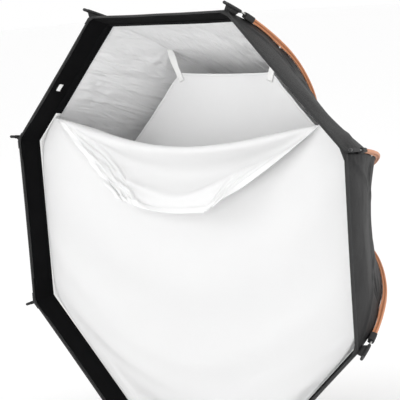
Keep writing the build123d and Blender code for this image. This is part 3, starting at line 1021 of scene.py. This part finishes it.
def sleeve_stitches():
    """A row of stitches down each side of each sleeve."""
    start, end, steps = SLEEVE_START + 4 * MM, SLEEVE_END - 3 * MM, 90
    rows = [[rod_place(angle, start + (end - start) * i / steps, side * 2.1 * MM, -4.6 * MM)
             for i in range(steps + 1)] for angle in ROD_ANGLES for side in (-1, 1)]
    stitched("sleeve_stitches", rows, COPPER_THREAD, "box", "sleeve_cloth")


sleeve_stitches()


# -------------------------------- inner baffle and straps
BAFFLE_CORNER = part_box("inner_baffle")[1].x / cos(HALF)
BAFFLE_BOW = 3 * MM


def baffle_edge(angle):
    """Distance from the axis to the baffle's edge, whose sides bow inwards between the straps."""
    middle = round((angle - pi / 2) / (tau / SIDES)) * tau / SIDES + pi / 2
    off = angle - middle
    u = off / HALF
    return BAFFLE_CORNER * cos(HALF) / cos(off) - BAFFLE_BOW * (1 - u * u)


def baffle_wave(r, angle):
    """Soft folds that spread from the baffle's corners."""
    share = r / BAFFLE_CORNER
    near = (angle - ROD_ANGLES[0]) % (tau / SIDES)
    off = min(near, tau / SIDES - near)
    fan = sin(off * 38) * exp(-off * 6) * share ** 4
    broad = ripple(cos(angle) * share * 2.2, sin(angle) * share * 2.2, 5.0)
    return 3.5 * MM * fan + 8 * MM * broad * (1 - share ** 3)


def baffle():
    """The inner cloth, and the hem round its edge."""
    rings, spokes = 48, 160
    points, uv = [np.array((0.0, BAFFLE_Y + baffle_wave(0, 0), 0.0))], [(0.0, 0.0)]
    for i in range(1, rings + 1):
        for j in range(spokes):
            angle = ROD_ANGLES[0] + tau * j / spokes
            r = baffle_edge(angle) * i / rings
            points.append(outward(angle) * r + REARWARD * (BAFFLE_Y + baffle_wave(r, angle)))
            uv.append((r * cos(angle), r * sin(angle)))
    faces = grid_faces(rings, spokes, wrap=True, first=1)
    faces += [(0, 1 + (j + 1) % spokes, 1 + j) for j in range(spokes)]
    sheet = outside_out(new_object("baffle", points, faces, uv, (BAFFLE_WHITE,)))
    thickened(sheet, 0.6 * MM, 0.0)
    settle(sheet, "box", "diffuser_cloth", "inner_baffle")
    loops = []
    for j in range(spokes):
        angle = ROD_ANGLES[0] + tau * j / spokes
        r = baffle_edge(angle)
        y = BAFFLE_Y + baffle_wave(r, angle)
        shape = superellipse(3.5 * MM, 1.0 * MM, 5, 12)
        loops.append([outward(angle) * (r - 3 * MM + a) + REARWARD * (y + b) for a, b in shape])
    hem = settle(ring_of("baffle_hem", loops, HEM_WHITE), "box", "diffuser_cloth")
    return sheet, hem


baffle_sheet, baffle_hem = baffle()

STRAP_HALF = 9 * MM
STRAP_THICK_HALF = 0.7 * MM
STRAP_OVERLAP = 24 * MM
STRAP_TWIST = radians(55)


def straps():
    """Tapes from the baffle's corners to the seams between the panels, turned on edge as they near them."""
    seam = shell_point(shell_along(BAFFLE_Y))[0]
    tapes = []
    for k, angle in enumerate(ROD_ANGLES):
        start = BAFFLE_CORNER - STRAP_OVERLAP
        end = seam - 0.5 * MM
        loops = []
        steps = 16
        for i in range(steps + 1):
            share = i / steps
            r = start + (end - start) * share
            y = BAFFLE_Y - 1.3 * MM - 1.2 * MM * sin(pi * share) + 0.6 * MM * ripple(share * 3, k)
            half = STRAP_HALF * (1 - 0.28 * smooth((share - 0.8) / 0.2))
            shape = superellipse(half, STRAP_THICK_HALF, 6, 14)
            twist = STRAP_TWIST * smooth((share - 0.35) / 0.6)
            wide = around(angle) * cos(twist) - REARWARD * sin(twist)
            thick = around(angle) * sin(twist) + REARWARD * cos(twist)
            centre = outward(angle) * r + REARWARD * y
            loops.append([centre + wide * a + thick * b for a, b in shape])
        tapes.append(tube(f"strap_{k}", loops, (TAPE_WHITE,), 2 * MM))
    return settle(joined("straps", tapes), "box", "diffuser_cloth", "baffle_straps")


def strap_stitches():
    """A box with a cross in it, sewn where each strap meets the baffle."""
    low, high = BAFFLE_CORNER - 22 * MM, BAFFLE_CORNER - 6 * MM
    corners = ((low, -7), (high, -7), (high, 7), (low, 7), (low, -7), (high, 7), (high, -7), (low, 7))
    rows = []
    for angle in ROD_ANGLES:
        for (r0, a0), (r1, a1) in zip(corners, corners[1:]):
            line = ((r0, a0), ((r0 + r1) / 2, (a0 + a1) / 2), (r1, a1))
            rows.append([outward(angle) * r + around(angle) * (a * MM) + REARWARD * (BAFFLE_Y - 2.2 * MM)
                         for r, a in line])
    stitched("strap_stitches", rows, WHITE_THREAD, "box", "diffuser_cloth", 2.6 * MM, 2 * MM, 0.3 * MM)


straps()
strap_stitches()


# -------------------------------- front diffuser
TAPE_DEPTH = 15 * MM
TAPE_REAR_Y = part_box("front_diffuser")[1].y - 0.5 * MM
DIFFUSER_Y = TAPE_REAR_Y - TAPE_DEPTH
SHEET_FLAT = lip_corner(DIFFUSER_Y, 3.6 * MM) * cos(HALF)
SHEET_SIDE = SHEET_FLAT * sin(HALF) / cos(HALF)
FOLD_SHARE = 0.25  # the slanting sides hold the cloth this far up
FOLD_Z = SHEET_SIDE + (SHEET_FLAT - SHEET_SIDE) * FOLD_SHARE
SHEET_ROUND = 40 * MM
HEM = 9 * MM
CLOTH_COLUMNS = 96
CLOTH_ROWS = 100
BEND = 12 * MM
FOLDED_TURN = pi * 0.93
SLACK = 0.016  # share of its length that loose cloth is longer
CLOTH_GAP = 3.5 * MM
SETTLING_FRAMES = 60
CLOTH_FEEL = {
    "quality": 7, "mass": 0.2, "tension_stiffness": 25, "compression_stiffness": 25, "shear_stiffness": 5,
    "bending_stiffness": 6.0, "air_damping": 1.5, "tension_damping": 6, "compression_damping": 6,
    "shrink_min": 0, "shrink_max": -SLACK,
}


def sheet_half_width(z):
    """Half the width of the flat octagonal cloth at a height, its corners rounded."""
    over = abs(z) - SHEET_SIDE
    return SHEET_FLAT - (over + hypot(over, SHEET_ROUND)) / 2


def sheet_lines(half, hem, count):
    """Places from -half to half: two hem steps at each end, even steps between."""
    inner = np.linspace(-half + 2 * hem, half - 2 * hem, count - 3)
    return [-half, -half + hem, *inner, half - hem, half]


def diffuser_start():
    """The cloth flat in its recess, with its top turned forwards over the fold."""
    points, uv, held = [], [], []
    for i, z in enumerate(sheet_lines(SHEET_FLAT, HEM, CLOTH_ROWS)):
        half = sheet_half_width(z)
        slanted = abs(z) > SHEET_SIDE
        hem = HEM / cos(pi / 4) if slanted else HEM
        for j, x in enumerate(sheet_lines(half, hem, CLOTH_COLUMNS)):
            over = max(0.0, z - FOLD_Z)
            turn = min(over / BEND, FOLDED_TURN)
            rest = over - turn * BEND
            y = DIFFUSER_Y - BEND * (1 - cos(turn)) - rest * sin(turn)
            height = min(z, FOLD_Z) + BEND * sin(turn) + rest * cos(turn)
            points.append((x, y, height))
            uv.append((x, z))
            edge = i == 0 or j == 0 or j == CLOTH_COLUMNS
            held.append(1.0 if edge and z <= FOLD_Z else 0.0)
    return points, uv, held


def weigh(piece, name, weights):
    """A vertex group of this name, with a weight for each point."""
    group = piece.vertex_groups.new(name=name)
    for index, weight in enumerate(weights):
        group.add([index], weight, "REPLACE")
    return name


def drape(piece, held, loose):
    """Lets the cloth fall until it hangs, held where it is sewn or stuck and with slack where loose."""
    cloth = piece.modifiers.new("cloth", "CLOTH")
    settings = cloth.settings
    for name, value in CLOTH_FEEL.items():
        setattr(settings, name, value)
    settings.vertex_group_shrink = weigh(piece, "loose", loose)
    settings.vertex_group_mass = weigh(piece, "held", held)
    contact = cloth.collision_settings
    contact.use_collision = False
    contact.use_self_collision = True
    contact.self_distance_min = CLOTH_GAP
    contact.self_friction = 0.5
    scene = bpy.context.scene
    cloth.point_cache.frame_start = 1
    cloth.point_cache.frame_end = SETTLING_FRAMES
    for step in range(1, SETTLING_FRAMES + 1):
        scene.frame_set(step)
    baked(piece)
    scene.frame_set(1)
    return piece


def slack_share(x, z):
    """How much of the slack a point takes: most left of the middle, none above the fold."""
    return (0.5 + 0.5 * exp(-(((x + 0.3) / 0.3) ** 2))) * (z < FOLD_Z)


def diffuser():
    """The front cloth with its top let down, and the hem round its loose edge."""
    points, uv, held = diffuser_start()
    rows, columns = CLOTH_ROWS + 1, CLOTH_COLUMNS + 1
    piece = new_object("diffuser", points, grid_faces(rows, columns), uv, (DIFFUSER_WHITE,))
    drape(piece, held, [slack_share(x, z) for x, z in uv])
    hem_faces = []
    for i in range(rows - 1):
        for j in range(columns - 1):
            if i >= rows - 3 or points[i * columns][1] < DIFFUSER_Y and (j < 2 or j >= columns - 3):
                a = i * columns + j
                hem_faces.append((a, a + 1, a + 1 + columns, a + columns))
    settled = [tuple(v.co) for v in piece.data.vertices]
    used = sorted({k for face in hem_faces for k in face})
    place = {k: n for n, k in enumerate(used)}
    hem = new_object("diffuser_hem", [settled[k] for k in used],
                     [tuple(place[k] for k in face) for face in hem_faces], [uv[k] for k in used],
                     (HEM_WHITE,))
    thickened(subdivided(hem), 1.9 * MM, 0.0)
    thickened(subdivided(piece), 0.5 * MM, 0.0)
    settle(piece, "diffuser", "diffuser_cloth", "front_diffuser")
    settle(hem, "diffuser", "diffuser_cloth")
    return piece, hem


diffuser_sheet, diffuser_hem = diffuser()


def hook_tape():
    """Hook tape along the held edge of the cloth, in the lip's recess."""
    points, uv = [], []
    rows = 4
    below = [n for n, p in enumerate(octagon_path(LIP_REAR_CORNER, LIP_ROUND)) if p[0][2] <= FOLD_Z]
    for i in range(rows + 1):
        y = TAPE_REAR_Y - TAPE_DEPTH * i / rows
        whole = octagon_path(lip_corner(y, 3.4 * MM), LIP_ROUND)
        path = [whole[n] for n in below]
        for n, (spot, out, u, k) in enumerate(path):
            points.append(spot + REARWARD * y)
            uv.append((n * PATH_STEP, i * 4 * MM))
    columns = len(points) // (rows + 1)
    piece = new_object("hook_tape", points, grid_faces(rows + 1, columns), uv, (TAPE_WHITE,))
    facing(piece, SIDE_STEPS, path[SIDE_STEPS][1])
    thickened(piece, 0.9 * MM)
    return settle(piece, "diffuser", "diffuser_cloth", "diffuser_hook_strip")


diffuser_tape = hook_tape()


# -------------------------------- CAD pieces that show
for node, material in (
    *((f"rod_{k}", ROD_STEEL) for k in range(1, 9)),
    *((f"lock_stud_{k}", SOCKET_STEEL) for k in range(1, 5)),
    *((f"lock_knob_{k}", MOULDED) for k in range(1, 5)),
    ("rod_tip_caps", MOULDED), ("rod_sockets", SOCKET_STEEL), ("speed_ring", RING_COAT),
    ("ring_insert", TURNED_ALUMINIUM),
):
    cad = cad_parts[node]
    cad.data.materials.clear()
    cad.data.materials.append(material)

# -------------------------------- cloth facts
octagon_share = 2 * (2 ** 0.5 - 1)  # of the square round it
2 * SHEET_FLAT
2 * SHEET_FLAT
octagon_share * (2 * SHEET_FLAT) ** 2


# -------------------------------- room, light and camera
FLOOR_Z = cad_box[0].z - 60 * MM
FLOOR_HALF = 30


def floor():
    corners = [(x * FLOOR_HALF, y * FLOOR_HALF, FLOOR_Z) for x, y in ((-1, -1), (1, -1), (1, 1), (-1, 1))]
    paint = Finish("floor_white", (0.98, 0.98, 0.98), 0.9).material
    new_object("floor", corners, [(0, 1, 2, 3)], None, (paint,))


floor()

CENTRE = (0, RIM_Y, 0)


def light(name, place, size, power):
    """A round soft light that looks at the rim's centre."""
    lamp = bpy.data.lights.new(name, "AREA")
    lamp.shape = "DISK"
    lamp.size = size
    lamp.energy = power
    holder = placed(name, lamp)
    holder.location = place
    holder.rotation_euler = (Vector(CENTRE) - Vector(place)).to_track_quat("-Z", "Y").to_euler()


light("key", (-2.6, -4.4, 2.6), 2.4, 54)
light("front", (1.2, -5.0, 0.2), 3.0, 38)
light("side", (4.6, 0.6, 1.8), 1.6, 40)

world = bpy.data.worlds.new("studio")
world.use_nodes = True
world.node_tree.nodes["Background"].inputs["Color"].default_value = (1, 1, 1, 1)
world.node_tree.nodes["Background"].inputs["Strength"].default_value = 1.0
bpy.context.scene.world = world
bpy.context.scene.view_settings.view_transform = "Standard"

camera = bpy.data.cameras.new("camera")
camera.lens = 123.7
camera.sensor_width = 36
camera.shift_x = 0.0048
camera.shift_y = -0.0192
viewer = placed("camera", camera)
viewer.location = (2.3882, -3.0425, 0.6544)
viewer.rotation_euler = (radians(80.915), radians(4.156), radians(42.117))
bpy.context.scene.camera = viewer
